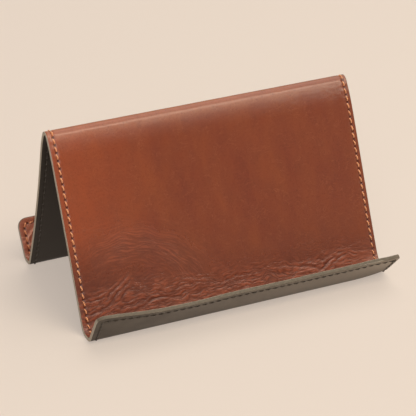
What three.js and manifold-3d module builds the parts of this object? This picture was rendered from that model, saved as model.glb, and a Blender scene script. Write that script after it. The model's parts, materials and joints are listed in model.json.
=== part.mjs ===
// Desk stand for business cards: one leather-faced, lined and stitched sheet around a bent steel core.
// In the side view the sheet runs from the tip of the front lip through a fold, up the front panel,
// over the ridge, down the rear panel and through a second fold to the tip of the rear lip.
// Every layer is a band of that side view, extruded across the width, with its four corners rounded.
// Millimetres; X across the width, Y towards the back, Z up, standing on Z = 0.
import * as THREE from "three";
import { mergeVertices } from "three/addons/utils/BufferGeometryUtils.js";
import Module from "manifold-3d";

// ---- overall size
const WIDTH = 101.6; // four inches, over the painted edges
const CORNERS = { front: 2.6, rear: 3.2 }; // corner radii at the two tips of the painted outline

// ---- angles in the side view, in degrees from upright
const FRONT_LIP_LEAN = 40; // front lip, leaning forward
const FRONT_PANEL_LEAN = 24.8; // front panel, leaning back
const FRONT_SHOULDER_LEAN = 35.8; // front panel where it meets the ridge
const REAR_SHOULDER_LEAN = 27.5; // rear panel where it leaves the ridge
const REAR_PANEL_LEAN_TOP = 13.4; // rear panel below its shoulder
const REAR_PANEL_LEAN_FOOT = 22.8; // rear panel at its foot, where it flares outwards
const REAR_LIP_LEAN = 31; // rear lip, leaning back

// ---- lengths and radii along the middle of the sheet
const FRONT_LIP_LENGTH = 12.2;
const FRONT_SHOULDER_LENGTH = 9.2;
const REAR_SHOULDER_LENGTH = 6.8;
const REAR_PANEL_LENGTH = 48.6;
const REAR_LIP_LENGTH = 11.6;
const FOOT_LENGTH = 1.2; // flat strip that each fold stands on
const FRONT_FOLD_RADIUS = 3.2;
const RIDGE_RADIUS = 1.75;
const REAR_FOLD_RADIUS = 2.3;

// ---- layers, as offsets from the middle of the sheet, plus on the leather side
const HALF_THICKNESS = 0.6; // 1.2 mm sheet
const GLUE_HALF = 0.03; // glue film between leather and lining
const CORE_HALF = 0.15; // 0.3 mm steel
const CORE_POCKET_HALF = 0.19; // steel and the glue film each side of it
const CORE_INSET = 3.6; // the steel stops short of the seam
const CORE_POCKET_INSET = 3.5;
const CORE_CORNERS = { front: 2, rear: 2 };

// ---- painted edge and seam, insets from the painted edge
const PAINT_THICKNESS = 0.2;
const PAINT_GAP = 0.03;
const PAINT_HALF_HEIGHT = 0.56;
const SEAM_INSET = 1.95;
const SEAM_CORNERS = { front: 1.4, rear: 1.4 }; // along the middle of the seam
const THREAD_WIDTH = 0.44;
const THREAD_HEIGHT = 0.25;
const GROOVE_WIDTH = 0.6;
const GROOVE_CLEARANCE = 0.05; // under the thread
const NEEDLE_THREAD_CROWN = 0.66; // slightly proud of the leather
const BOBBIN_THREAD_CROWN = 0.58; // pulled into the lining

// ---- cutting tools
const OVERRUN = 1; // how far a cut runs past the surface it cuts
const FACE_OVERRUN = 0.25; // the same through the thickness, where the folds are tight
const TIP_CUTTER_HALF_DEPTH = 3;
const TIP_CUTTER_REACH = 6; // beyond the trimmed tip
const CORNER_STEPS = 6;

const radians = THREE.MathUtils.degToRad;

const wasm = await Module();
wasm.setup();

// ---------------------------------------------------------------- the side view

// One entry per stretch: its length, the angle it turns through (plus turns upwards) and its number
// of flats. The walk starts at the tip of the front lip, heading down and back.
function stretches(frontPanelLength) {
  const arc = (radius, turn, flats) => [radius * radians(Math.abs(turn)), turn, flats];
  return [
    [FRONT_LIP_LENGTH, 0, 1],
    arc(FRONT_FOLD_RADIUS, 90 - FRONT_LIP_LEAN, 5),
    [FOOT_LENGTH, 0, 1],
    arc(FRONT_FOLD_RADIUS, 90 - FRONT_PANEL_LEAN, 6),
    [frontPanelLength, 0, 1],
    [FRONT_SHOULDER_LENGTH, FRONT_PANEL_LEAN - FRONT_SHOULDER_LEAN, 5],
    arc(RIDGE_RADIUS, FRONT_SHOULDER_LEAN + REAR_SHOULDER_LEAN - 180, 12),
    [REAR_SHOULDER_LENGTH, REAR_PANEL_LEAN_TOP - REAR_SHOULDER_LEAN, 4],
    [REAR_PANEL_LENGTH, REAR_PANEL_LEAN_FOOT - REAR_PANEL_LEAN_TOP, 5],
    arc(REAR_FOLD_RADIUS, 90 - REAR_PANEL_LEAN_FOOT, 6),
    [FOOT_LENGTH, 0, 1],
    arc(REAR_FOLD_RADIUS, 90 - REAR_LIP_LEAN, 5),
    [REAR_LIP_LENGTH, 0, 1],
  ];
}

// A vector of one length in the side view, pointing along a heading above the horizontal.
function pointing(heading, length) {
  return new THREE.Vector2(length * Math.cos(heading), length * Math.sin(heading));
}

// Walks the stretches as straight flats. Gives each flat's start point and heading, and the far tip.
function walk(entries) {
  const place = new THREE.Vector2(0, 0);
  const flats = [];
  let turned = FRONT_LIP_LEAN - 90;
  for (const [length, turn, count] of entries) {
    for (let i = 0; i < count; i++) {
      const heading = radians(turned + (turn * (i + 0.5)) / count);
      flats.push({ start: place.clone(), heading });
      place.add(pointing(heading, length / count));
    }
    turned += turn;
  }
  return { flats, tip: place };
}

// The front panel is as long as it must be for both folds to stand at one level.
function levelFrontPanelLength() {
  const feet = walk(stretches(0)).flats.filter((flat) => Math.abs(flat.heading) < 1e-9);
  return (feet[0].start.y - feet[1].start.y) / Math.cos(radians(FRONT_PANEL_LEAN));
}

const { flats: FLATS, tip: REAR_TIP } = walk(stretches(levelFrontPanelLength()));
const FRONT_TIP = FLATS[0].start;
const FRONT_TIP_HEADING = FLATS[0].heading;
const REAR_TIP_HEADING = FLATS[FLATS.length - 1].heading;

// The side view's line at one offset from the middle. Where two flats meet, the offset point lies on
// the mitre, so that every layer keeps its thickness. Both ends run straight on past the tips.
function offsetLine(offset) {
  const points = FLATS.map((flat, i) => {
    const before = i === 0 ? flat.heading : FLATS[i - 1].heading;
    const middle = (before + flat.heading) / 2;
    const reach = offset / Math.cos((flat.heading - before) / 2);
    return pointing(middle + Math.PI / 2, reach).add(flat.start);
  });
  points.push(pointing(REAR_TIP_HEADING + Math.PI / 2, offset).add(REAR_TIP));
  points[0].sub(pointing(FRONT_TIP_HEADING, OVERRUN));
  points[points.length - 1].add(pointing(REAR_TIP_HEADING, OVERRUN));
  return points;
}

// ---------------------------------------------------------------- solids

function toSolid(geometry) {
  geometry.deleteAttribute("normal");
  geometry.deleteAttribute("uv");
  const merged = mergeVertices(geometry, 1e-5);
  return new wasm.Manifold(
    new wasm.Mesh({
      numProp: 3,
      vertProperties: new Float32Array(merged.attributes.position.array),
      triVerts: new Uint32Array(merged.index.array),
    }),
  );
}

// The band of the side view between two offsets, extruded across a width centred on X = 0.
function band(width, low, high) {
  const shape = new THREE.Shape([...offsetLine(low), ...offsetLine(high).reverse()]);
  const geometry = new THREE.ExtrudeGeometry(shape, { depth: width, bevelEnabled: false });
  geometry.translate(0, 0, -width / 2);
  const across = new THREE.Vector3(1, 0, 0);
  const back = new THREE.Vector3(0, 1, 0);
  const up = new THREE.Vector3(0, 0, 1);
  geometry.applyMatrix4(new THREE.Matrix4().makeBasis(back, up, across));
  return toSolid(geometry);
}

// Trims a tip square to the sheet and rounds its two corners. In the cutter's own frame the sheet
// lies in the XY plane with its tip at Y = 0; the heading then points from the tip into the sheet.
function tipCutter(width, radius, tip, heading) {
  const half = width / 2;
  const shape = new THREE.Shape();
  shape.moveTo(-half - OVERRUN, -TIP_CUTTER_REACH);
  shape.lineTo(half + OVERRUN, -TIP_CUTTER_REACH);
  shape.lineTo(half + OVERRUN, radius);
  shape.lineTo(half, radius);
  shape.absarc(half - radius, radius, radius, 0, -Math.PI / 2, true);
  shape.absarc(radius - half, radius, radius, -Math.PI / 2, -Math.PI, true);
  shape.lineTo(-half - OVERRUN, radius);
  const geometry = new THREE.ExtrudeGeometry(shape, {
    depth: 2 * TIP_CUTTER_HALF_DEPTH,
    bevelEnabled: false,
    curveSegments: CORNER_STEPS,
  });
  geometry.translate(0, 0, -TIP_CUTTER_HALF_DEPTH);
  geometry.rotateX(heading);
  geometry.translate(0, tip.x, tip.y);
  return toSolid(geometry);
}

// Corner radii once an outline has moved inwards by a distance. A negative distance moves it outwards.
function shrunk(corners, distance) {
  return { front: corners.front - distance, rear: corners.rear - distance };
}

// A bent sheet between two offsets, set in from the painted edge all round.
function sheet(inset, corners, low, high) {
  const width = WIDTH - 2 * inset;
  const inward = inset - PAINT_THICKNESS;
  const rearHeading = REAR_TIP_HEADING + Math.PI;
  const frontTip = pointing(FRONT_TIP_HEADING, inward).add(FRONT_TIP);
  const rearTip = pointing(rearHeading, inward).add(REAR_TIP);
  return band(width, low, high)
    .subtract(tipCutter(width, corners.front, frontTip, FRONT_TIP_HEADING))
    .subtract(tipCutter(width, corners.rear, rearTip, rearHeading));
}

// A strip that follows the sheet's outline all the way round, between two insets.
function outlineStrip(outerInset, innerInset, corners, low, high) {
  const innerCorners = shrunk(corners, innerInset - outerInset);
  const outer = sheet(outerInset, corners, low, high);
  return outer.subtract(sheet(innerInset, innerCorners, low - FACE_OVERRUN, high + FACE_OVERRUN));
}

function seamStrip(width, low, high) {
  const corners = shrunk(SEAM_CORNERS, -width / 2);
  return outlineStrip(SEAM_INSET - width / 2, SEAM_INSET + width / 2, corners, low, high);
}

// ---------------------------------------------------------------- pieces

// Space for the steel core and its glue.
function corePocket() {
  return sheet(CORE_POCKET_INSET, CORE_CORNERS, -CORE_POCKET_HALF, CORE_POCKET_HALF);
}

function corePlate() {
  return sheet(CORE_INSET, CORE_CORNERS, -CORE_HALF, CORE_HALF);
}

function outerLeather() {
  const grooveFloor = NEEDLE_THREAD_CROWN - THREAD_HEIGHT - GROOVE_CLEARANCE;
  return sheet(PAINT_THICKNESS, shrunk(CORNERS, PAINT_THICKNESS), GLUE_HALF, HALF_THICKNESS)
    .subtract(corePocket())
    .subtract(seamStrip(GROOVE_WIDTH, grooveFloor, HALF_THICKNESS + FACE_OVERRUN));
}

function lining() {
  const grooveFloor = BOBBIN_THREAD_CROWN - THREAD_HEIGHT - GROOVE_CLEARANCE;
  return sheet(PAINT_THICKNESS, shrunk(CORNERS, PAINT_THICKNESS), -HALF_THICKNESS, -GLUE_HALF)
    .subtract(corePocket())
    .subtract(seamStrip(GROOVE_WIDTH, -HALF_THICKNESS - FACE_OVERRUN, -grooveFloor));
}

function needleThread() {
  return seamStrip(THREAD_WIDTH, NEEDLE_THREAD_CROWN - THREAD_HEIGHT, NEEDLE_THREAD_CROWN);
}

function bobbinThread() {
  return seamStrip(THREAD_WIDTH, -BOBBIN_THREAD_CROWN, THREAD_HEIGHT - BOBBIN_THREAD_CROWN);
}

function edgePaint() {
  const inner = PAINT_THICKNESS - PAINT_GAP;
  return outlineStrip(0, inner, CORNERS, -PAINT_HALF_HEIGHT, PAINT_HALF_HEIGHT);
}

// ---------------------------------------------------------------- assembly

function meshOf(name, solid, look) {
  const made = solid.getMesh();
  const geometry = new THREE.BufferGeometry();
  geometry.setAttribute("position", new THREE.Float32BufferAttribute(made.vertProperties, 3));
  geometry.setIndex(new THREE.Uint32BufferAttribute(made.triVerts, 1));
  geometry.computeVertexNormals();
  const mesh = new THREE.Mesh(geometry, new THREE.MeshStandardMaterial(look));
  mesh.name = name;
  return mesh;
}

const stand = new THREE.Group();
stand.name = "business_card_stand";
stand.add(meshOf("outer_leather", outerLeather(), { color: 0x8f462d, metalness: 0, roughness: 0.45 }));
stand.add(meshOf("lining", lining(), { color: 0x6a6052, metalness: 0, roughness: 0.65 }));
stand.add(meshOf("core_plate", corePlate(), { color: 0xb4b4b0, metalness: 1, roughness: 0.4 }));
stand.add(meshOf("needle_thread", needleThread(), { color: 0xd9874f, metalness: 0, roughness: 0.8 }));
stand.add(meshOf("bobbin_thread", bobbinThread(), { color: 0x45413a, metalness: 0, roughness: 0.8 }));
stand.add(meshOf("edge_paint", edgePaint(), { color: 0x8d877c, metalness: 0, roughness: 0.6 }));

// The side view is drawn from the front lip's tip. The group moves it to stand on Z = 0, centred
// front to back on its own outline.
const extent = new THREE.Box3().setFromObject(stand);
stand.position.set(0, -(extent.min.y + extent.max.y) / 2, -extent.min.z);

export default stand;
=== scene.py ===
import json
import math

import bpy
import numpy as np
from mathutils import Matrix, Vector
from mathutils.kdtree import KDTree

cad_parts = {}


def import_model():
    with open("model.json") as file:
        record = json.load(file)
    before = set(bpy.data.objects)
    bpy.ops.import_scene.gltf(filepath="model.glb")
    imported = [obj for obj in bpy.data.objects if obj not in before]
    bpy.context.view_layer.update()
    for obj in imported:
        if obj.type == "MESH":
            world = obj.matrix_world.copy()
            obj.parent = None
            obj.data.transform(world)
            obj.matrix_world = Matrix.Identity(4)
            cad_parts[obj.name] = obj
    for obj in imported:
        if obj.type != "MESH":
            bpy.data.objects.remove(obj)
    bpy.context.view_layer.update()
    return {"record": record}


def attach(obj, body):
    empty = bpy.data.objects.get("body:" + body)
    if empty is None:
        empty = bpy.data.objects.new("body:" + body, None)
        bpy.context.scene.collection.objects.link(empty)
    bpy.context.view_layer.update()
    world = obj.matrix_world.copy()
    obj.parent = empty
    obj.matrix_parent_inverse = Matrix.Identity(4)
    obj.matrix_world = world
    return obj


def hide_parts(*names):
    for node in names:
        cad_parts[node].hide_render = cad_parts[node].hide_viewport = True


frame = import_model()

MM = 0.001

# ---- side view, the same driving dimensions as the CAD part: angles from upright, in degrees
FRONT_LIP_LEAN = 40.0
FRONT_PANEL_LEAN = 24.8
FRONT_SHOULDER_LEAN = 35.8
REAR_SHOULDER_LEAN = 27.5
REAR_PANEL_LEAN_TOP = 13.4
REAR_PANEL_LEAN_FOOT = 22.8
REAR_LIP_LEAN = 31.0
FRONT_LIP_LENGTH = 12.2
FRONT_SHOULDER_LENGTH = 9.2
REAR_SHOULDER_LENGTH = 6.8
REAR_PANEL_LENGTH = 48.6
REAR_LIP_LENGTH = 11.6
FOOT_LENGTH = 1.2
FRONT_FOLD_RADIUS = 3.2
RIDGE_RADIUS = 1.75
REAR_FOLD_RADIUS = 2.3
HALF_THICKNESS = 0.6
WALK_STEP = 0.02

# ---- the flat sheet
HALF_WIDTH = 50.8
FRONT_CORNER_RADIUS = 2.6
REAR_CORNER_RADIUS = 3.2
PAINT_DEPTH = 0.13
SEAM_INSET = 1.95
SEAM_DRIFT = 0.5  # how much nearer the edge the seam runs on the right side
SEAM_DRIFT_REACH = 12.0
STITCH_PITCH = 2.38
SEAM_STEP = 0.05  # spacing of the points that describe the seam
SEAM_REACH = 2.2  # how far off the seam its coordinates are worked out
FAR_OFF_SEAM = 9.0  # the value given to points further away

# ---- the hand-bent front lip: more upright at its left end, lower and curled up at its right end
LEFT_END_LIFT = 9.5
LEFT_END_REACH = 21.0
RIGHT_END_DROP = 4.0
RIGHT_END_REACH = 11.0
RIGHT_END_CURL = 1.1
RIGHT_CURL_REACH = 14.0
RIGHT_CURL_POWER = 2.4
LIP_WAVER = 0.7
RIGHT_CURL_PAST_FOLD = 3.0  # how far up the front panel the curl dies out
RIGHT_CURL_FADE = 5.0
PANEL_BILLOW = 0.10
PANEL_BILLOW_FADE = 14.0
LIP_BILLOW = 0.16
LIP_BILLOW_START = 4.0  # ahead of the front foot
LIP_BILLOW_FADE = 9.0


def smoothstep(t):
    t = np.clip(t, 0.0, 1.0)
    return t * t * (3.0 - 2.0 * t)


def bump(distance, width):
    return np.exp(-((distance / width) ** 2))


# ---------------------------------------------------------------- noise

NOISE_CELLS = 128


def noise(x, y, seed):
    """Smooth gradient noise, about -1 to 1, one cell per unit."""
    turns = np.random.default_rng(seed).random((NOISE_CELLS, NOISE_CELLS)) * 2 * np.pi
    gx, gy = np.cos(turns), np.sin(turns)
    xi, yi = np.floor(x).astype(int), np.floor(y).astype(int)
    fx, fy = x - xi, y - yi

    def corner(dx, dy):
        i, j = (xi + dx) % NOISE_CELLS, (yi + dy) % NOISE_CELLS
        return gx[i, j] * (fx - dx) + gy[i, j] * (fy - dy)

    ex = fx * fx * fx * (fx * (fx * 6 - 15) + 10)
    ey = fy * fy * fy * (fy * (fy * 6 - 15) + 10)
    low = corner(0, 0) * (1 - ex) + corner(1, 0) * ex
    high = corner(0, 1) * (1 - ex) + corner(1, 1) * ex
    return 1.6 * (low * (1 - ey) + high * ey)


def creased(x, y, seed, soften=0.12):
    """Rounded hills parted by narrow valleys, about 0 to 1."""
    return np.sqrt(noise(x, y, seed) ** 2 + soften**2) - soften


# ---------------------------------------------------------------- the bend


def arc(radius, turn):
    return radius * math.radians(abs(turn)), turn


def stretches(front_panel_length):
    """(length, turn in degrees) of each stretch, from the front foot to the tip of the rear lip."""
    return [
        (FOOT_LENGTH, 0),
        arc(FRONT_FOLD_RADIUS, 90 - FRONT_PANEL_LEAN),
        (front_panel_length, 0),
        (FRONT_SHOULDER_LENGTH, FRONT_PANEL_LEAN - FRONT_SHOULDER_LEAN),
        arc(RIDGE_RADIUS, FRONT_SHOULDER_LEAN + REAR_SHOULDER_LEAN - 180),
        (REAR_SHOULDER_LENGTH, REAR_PANEL_LEAN_TOP - REAR_SHOULDER_LEAN),
        (REAR_PANEL_LENGTH, REAR_PANEL_LEAN_FOOT - REAR_PANEL_LEAN_TOP),
        arc(REAR_FOLD_RADIUS, 90 - REAR_PANEL_LEAN_FOOT),
        (FOOT_LENGTH, 0),
        arc(REAR_FOLD_RADIUS, 90 - REAR_LIP_LEAN),
        (REAR_LIP_LENGTH, 0),
    ]


def walk(entries):
    """Distances, headings and places along the middle of the sheet, from the front foot."""
    ends = np.cumsum([0.0] + [length for length, _ in entries])
    turned = np.cumsum([0.0] + [turn for _, turn in entries])
    steps = int(round(ends[-1] / WALK_STEP))
    along = np.linspace(0.0, ends[-1], steps + 1)
    heading = np.radians(np.interp(along, ends, turned))
    middle = (heading[1:] + heading[:-1]) / 2
    step = along[1] - along[0]
    y = np.concatenate([[0.0], np.cumsum(np.cos(middle)) * step])
    z = np.concatenate([[0.0], np.cumsum(np.sin(middle)) * step])
    return ends, along, heading, y, z


# Which stretch is which, counted from 0.
FRONT_PANEL = 2
RIDGE = 4
REAR_FOLD = 7
REAR_FOOT = 8
REAR_LIP = 10


def level_front_panel_length():
    """The front panel is as long as it must be for both folds to stand at one level."""
    ends, along, _, _, z = walk(stretches(0.0))
    rear_foot = np.interp(ends[REAR_FOOT], along, z)
    return -rear_foot / math.cos(math.radians(FRONT_PANEL_LEAN))


ENDS, ALONG, HEADING, WALK_Y, WALK_Z = walk(stretches(level_front_panel_length()))
FRONT_FOOT = next(m for m in frame["record"]["mounts"] if m["name"] == "front_foot")
START_Y = FRONT_FOOT["pos_m"][1] / MM - FOOT_LENGTH / 2
START_Z = HALF_THICKNESS
PANEL_START = ENDS[FRONT_PANEL]
RIDGE_START, RIDGE_END = ENDS[RIDGE], ENDS[RIDGE + 1]
RIDGE_TOP = (RIDGE_START + RIDGE_END) / 2
REAR_FOLD_START, REAR_FOLD_END = ENDS[REAR_FOLD], ENDS[REAR_LIP]
S_REAR = ENDS[-1]
S_FRONT = -(FRONT_LIP_LENGTH + arc(FRONT_FOLD_RADIUS, 90 - FRONT_LIP_LEAN)[0])


def right_end(u, reach):
    """0 along the sheet, rising to 1 at its right end."""
    return smoothstep((u - HALF_WIDTH + reach) / reach)


def lip_lean(u):
    """Lean of the front lip in degrees, with the unevenness of a fold made by hand."""
    lift = LEFT_END_LIFT * smoothstep((LEFT_END_REACH - HALF_WIDTH - u) / LEFT_END_REACH)
    waver = LIP_WAVER * noise(u / 17.0 + 3.3, 0.5 + 0 * u, 11)
    return FRONT_LIP_LEAN - lift + RIGHT_END_DROP * right_end(u, RIGHT_END_REACH) + waver


def billow(u, s):
    """How far the whole sheet bows off its side view."""
    from_foot = smoothstep((s - PANEL_START) / PANEL_BILLOW_FADE)
    from_ridge = smoothstep((RIDGE_START - s) / PANEL_BILLOW_FADE)
    lip = smoothstep((-LIP_BILLOW_START - s) / LIP_BILLOW_FADE)
    on_panel = PANEL_BILLOW * from_foot * from_ridge * noise(u / 34 + 7.1, s / 30 + 2.2, 12)
    on_lip = LIP_BILLOW * lip * noise(u / 15 + 1.7, s / 20, 13)
    return on_panel + on_lip


def place(u, s, w):
    """Sheet coordinates to points in the row's frame, in metres."""
    u, s, w = np.broadcast_arrays(np.asarray(u, float), s, w)
    w = w + billow(u, s)
    fold = np.radians(90 - lip_lean(u))
    ahead = np.maximum(-s, 0.0)
    bent = np.minimum(ahead, FRONT_FOLD_RADIUS * fold)
    turned = bent / FRONT_FOLD_RADIUS
    straight = ahead - bent
    lip_y = -FRONT_FOLD_RADIUS * np.sin(turned) - straight * np.cos(turned)
    lip_z = FRONT_FOLD_RADIUS * (1 - np.cos(turned)) + straight * np.sin(turned)
    along_lip = np.clip((u - HALF_WIDTH + RIGHT_CURL_REACH) / RIGHT_CURL_REACH, 0, 1)
    ahead_of_panel = smoothstep((PANEL_START + RIGHT_CURL_PAST_FOLD - s) / RIGHT_CURL_FADE)
    curl = RIGHT_END_CURL * along_lip**RIGHT_CURL_POWER * ahead_of_panel
    behind = s >= 0
    heading = np.where(behind, np.interp(s, ALONG, HEADING), -turned)
    y = START_Y + np.where(behind, np.interp(s, ALONG, WALK_Y), lip_y)
    z = START_Z + curl + np.where(behind, np.interp(s, ALONG, WALK_Z), lip_z)
    return MM * np.stack([u, y - w * np.sin(heading), z + w * np.cos(heading)], -1)


# ---------------------------------------------------------------- the outline and paths along it

SMALLEST_CORNER = 0.25


def rounded(inset, radius):
    """A corner radius once its outline has moved inwards."""
    return max(radius - inset, SMALLEST_CORNER)


def ring(inset, step, drift=0.0):
    """A closed path round the sheet at one inset from its edge. It starts in the middle of the rear
    edge and runs by the left side to the front. Rows of run, u, s and the outward direction.
    Its right side may drift closer to the edge."""
    half = HALF_WIDTH - inset
    front, rear = S_FRONT + inset, S_REAR - inset
    fr, rr = rounded(inset, FRONT_CORNER_RADIUS), rounded(inset, REAR_CORNER_RADIUS)
    points = []

    def straight(u0, s0, u1, s1, nu, ns):
        count = max(2, int(math.hypot(u1 - u0, s1 - s0) / step))
        for t in np.arange(count) / count:
            points.append((u0 + (u1 - u0) * t, s0 + (s1 - s0) * t, nu, ns))

    def corner(cu, cs, radius, start, end):
        count = max(6, int(radius * math.radians(abs(end - start)) / step))
        for t in np.arange(count) / count:
            angle = math.radians(start + (end - start) * t)
            nu, ns = math.cos(angle), math.sin(angle)
            points.append((cu + radius * nu, cs + radius * ns, nu, ns))

    straight(0, rear, -half + rr, rear, 0, 1)
    corner(-half + rr, rear - rr, rr, 90, 180)
    straight(-half, rear - rr, -half, front + fr, -1, 0)
    corner(-half + fr, front + fr, fr, 180, 270)
    straight(-half + fr, front, half - fr, front, 0, -1)
    corner(half - fr, front + fr, fr, 270, 360)
    straight(half, front + fr, half, rear - rr, 1, 0)
    corner(half - rr, rear - rr, rr, 0, 90)
    straight(half - rr, rear, 0, rear, 0, 1)
    table = np.array(points)
    table[:, 0] += drift * smoothstep((table[:, 0] - half + SEAM_DRIFT_REACH) / SEAM_DRIFT_REACH)
    closed = np.vstack([table, table[:1]])
    run = np.concatenate([[0], np.cumsum(np.hypot(*np.diff(closed[:, :2], axis=0).T))])
    return run, closed


def along_ring(path, run):
    """u, s and outward direction at distances along a ring."""
    lengths, table = path
    run = np.mod(run, lengths[-1])
    return [np.interp(run, lengths, table[:, k]) for k in range(4)]


SEAM = ring(SEAM_INSET, SEAM_STEP, SEAM_DRIFT)
SEAM_LENGTH = SEAM[0][-1]
STITCHES = int(round(SEAM_LENGTH / STITCH_PITCH))
PITCH = SEAM_LENGTH / STITCHES


def seam_coordinates(u, s):
    """Distance along the seam in stitches, and distance off it, for points near it."""
    tree = KDTree(len(SEAM[0]) - 1)
    for i, (pu, ps, _, _) in enumerate(SEAM[1][:-1]):
        tree.insert((pu, ps, 0), i)
    tree.balance()
    edge = np.minimum(HALF_WIDTH - np.abs(u), np.minimum(s - S_FRONT, S_REAR - s))
    near = np.nonzero(np.abs(edge - SEAM_INSET) < SEAM_REACH)[0]
    run = np.full(len(u), 0.5)
    off = np.full(len(u), FAR_OFF_SEAM)
    for k in near:
        found, i, _ = tree.find((u[k], s[k], 0))
        nu, ns = SEAM[1][i, 2:]
        run[k] = SEAM[0][i] / PITCH
        off[k] = (u[k] - found[0]) * nu + (s[k] - found[1]) * ns
    return run, off


# ---------------------------------------------------------------- meshes


def make_mesh(name, points, faces, attributes=None):
    mesh = bpy.data.meshes.new(name)
    mesh.from_pydata(points.tolist(), [], faces)
    mesh.validate()
    for key, values in (attributes or {}).items():
        if values.ndim == 2:
            layer = mesh.attributes.new(key, "FLOAT_VECTOR", "POINT")
            layer.data.foreach_set("vector", values.astype(np.float32).ravel())
        else:
            layer = mesh.attributes.new(key, "FLOAT", "POINT")
            layer.data.foreach_set("value", values.astype(np.float32))
    mesh.polygons.foreach_set("use_smooth", [True] * len(mesh.polygons))
    mesh.update()
    obj = bpy.data.objects.new(name, mesh)
    bpy.context.scene.collection.objects.link(obj)
    return obj


def spaced(*parts):
    """Values along a line from (end, step) parts, the first part giving only the start."""
    values = [parts[0]]
    for end, step in parts[1:]:
        count = max(1, int(round(abs(end - values[-1]) / step)))
        values.extend(np.linspace(values[-1], end, count + 1)[1:])
    return np.array(values)


TIP_ROWS = 9


def tip_rows(start, inward, radius):
    """Rows across a rounded end: close together at the tip."""
    angles = np.linspace(0, math.pi / 2, TIP_ROWS)
    return start + inward * radius * (1 - np.cos(angles))


def outline_half_width(s, inset):
    """Half the width of the sheet's outline at s, with its rounded corners."""
    full = HALF_WIDTH - inset
    half = np.full(len(s), full)
    for tip, sign, corner in (
        (S_FRONT + inset, 1, FRONT_CORNER_RADIUS),
        (S_REAR - inset, -1, REAR_CORNER_RADIUS),
    ):
        radius = rounded(inset, corner)
        depth = np.clip(sign * (s - tip), 0, radius)
        half = np.minimum(half, full - radius + np.sqrt(radius**2 - (radius - depth) ** 2))
    return half


PRESSED_MARGIN = 6.0


def sheet_grid(rows, columns, inset):
    """Grid points (u, s) of a sheet, its side columns pressed in at the rounded corners."""
    full = HALF_WIDTH - inset
    keep = full - PRESSED_MARGIN
    half = outline_half_width(rows, inset)[:, None]
    size = np.abs(columns)[None, :]
    pressed = keep + (size - keep) * (half - keep) / (full - keep)
    u = np.sign(columns)[None, :] * np.where(size > keep, pressed, size)
    return u, np.broadcast_to(rows[:, None], u.shape)


BACK_COLUMN_EVERY = 24


def shell_faces(nr, nc, picks, side):
    """Faces of a closed sheet: nr rows of nc points, then as many rows of the columns in picks."""
    nb = len(picks)
    base = nr * nc
    faces = []

    def add(*ids):
        faces.append(ids if side > 0 else ids[::-1])

    for i in range(nr - 1):
        for j in range(nc - 1):
            a = i * nc + j
            add(a, a + 1, a + nc + 1, a + nc)
        for j in range(nb - 1):
            a = base + i * nb + j
            add(a, a + nb, a + nb + 1, a + 1)
        for j, k, turn in ((0, 0, False), (nc - 1, nb - 1, True)):
            quad = (i * nc + j, (i + 1) * nc + j, base + (i + 1) * nb + k, base + i * nb + k)
            add(*(quad[::-1] if turn else quad))
    for i, turn in ((0, False), (nr - 1, True)):
        for k in range(nb - 1):
            low, high = base + i * nb + k, base + i * nb + k + 1
            for j in range(picks[k], picks[k + 1]):
                tri = (low, i * nc + j + 1, i * nc + j)
                add(*(tri[::-1] if turn else tri))
            tri = (low, high, i * nc + picks[k + 1])
            add(*(tri[::-1] if turn else tri))
    return faces


def shell(name, rows, columns, inset, face, back, side, extras=None):
    """A closed sheet: a fine face at w=face(u, s), a plain back at w=back, joined at the rim.
    side is 1 when the fine face looks to the leather side, -1 when it looks to the lining side."""
    u, s = sheet_grid(rows, columns, inset)
    nr, nc = u.shape
    picks = sorted(set(list(range(0, nc, BACK_COLUMN_EVERY)) + [nc - 1]))
    ub, sb = u[:, picks], s[:, picks]
    flat_u = np.concatenate([u.ravel(), ub.ravel()])
    flat_s = np.concatenate([s.ravel(), sb.ravel()])
    flat_w = np.concatenate([face(u, s).ravel(), np.full(ub.size, float(back))])
    run, off = seam_coordinates(flat_u, flat_s)
    attributes = {
        "sheet": np.stack([flat_u, flat_s, flat_w], -1),
        "seam": np.stack([run, off, np.zeros(len(run))], -1),
    }
    for key, field in (extras or {}).items():
        values = field(u, s)
        per_point = values.reshape(u.size, -1)
        padded = np.vstack([per_point, np.zeros((ub.size, per_point.shape[1]))])
        attributes[key] = padded if values.ndim == 3 else padded[:, 0]
    faces = shell_faces(nr, nc, picks, side)
    return make_mesh(name, place(flat_u, flat_s, flat_w), faces, attributes)


def tube_faces(n, sides):
    """Faces of a closed tube: n sections of so many points, the last joined to the first."""
    faces = []
    for i in range(n):
        k = (i + 1) % n
        for j in range(sides):
            m = (j + 1) % sides
            faces.append((i * sides + j, k * sides + j, k * sides + m, i * sides + m))
    return faces


def strand(name, centre, across, radius_of):
    """A closed tube round a loop of centre points (n, 3), pressed flat where it meets the floor."""
    ahead = np.roll(centre, -1, 0) - np.roll(centre, 1, 0)
    ahead /= np.linalg.norm(ahead, axis=1)[:, None]
    lift = np.cross(ahead, across)
    lift /= np.linalg.norm(lift, axis=1)[:, None]
    side = np.cross(lift, ahead)
    n = len(centre)
    sides = radius_of.shape[1]
    angles = np.arange(sides) / sides * 2 * np.pi
    points = centre[:, None, :] + radius_of[:, :, None] * (
        np.cos(angles)[None, :, None] * side[:, None, :]
        + np.sin(angles)[None, :, None] * lift[:, None, :]
    )
    flat = points.reshape(-1, 3)
    spin = np.tile(angles / (2 * np.pi), n)
    run = np.repeat(np.arange(n), sides)
    attributes = {"strand": np.stack([run, spin, np.zeros(n * sides)], -1)}
    placed = place(flat[:, 0], flat[:, 1], flat[:, 2])
    placed[:, 2] = np.maximum(placed[:, 2], 0.0)
    return make_mesh(name, placed, tube_faces(n, sides), attributes)


# ---------------------------------------------------------------- relief of the leather face

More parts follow.
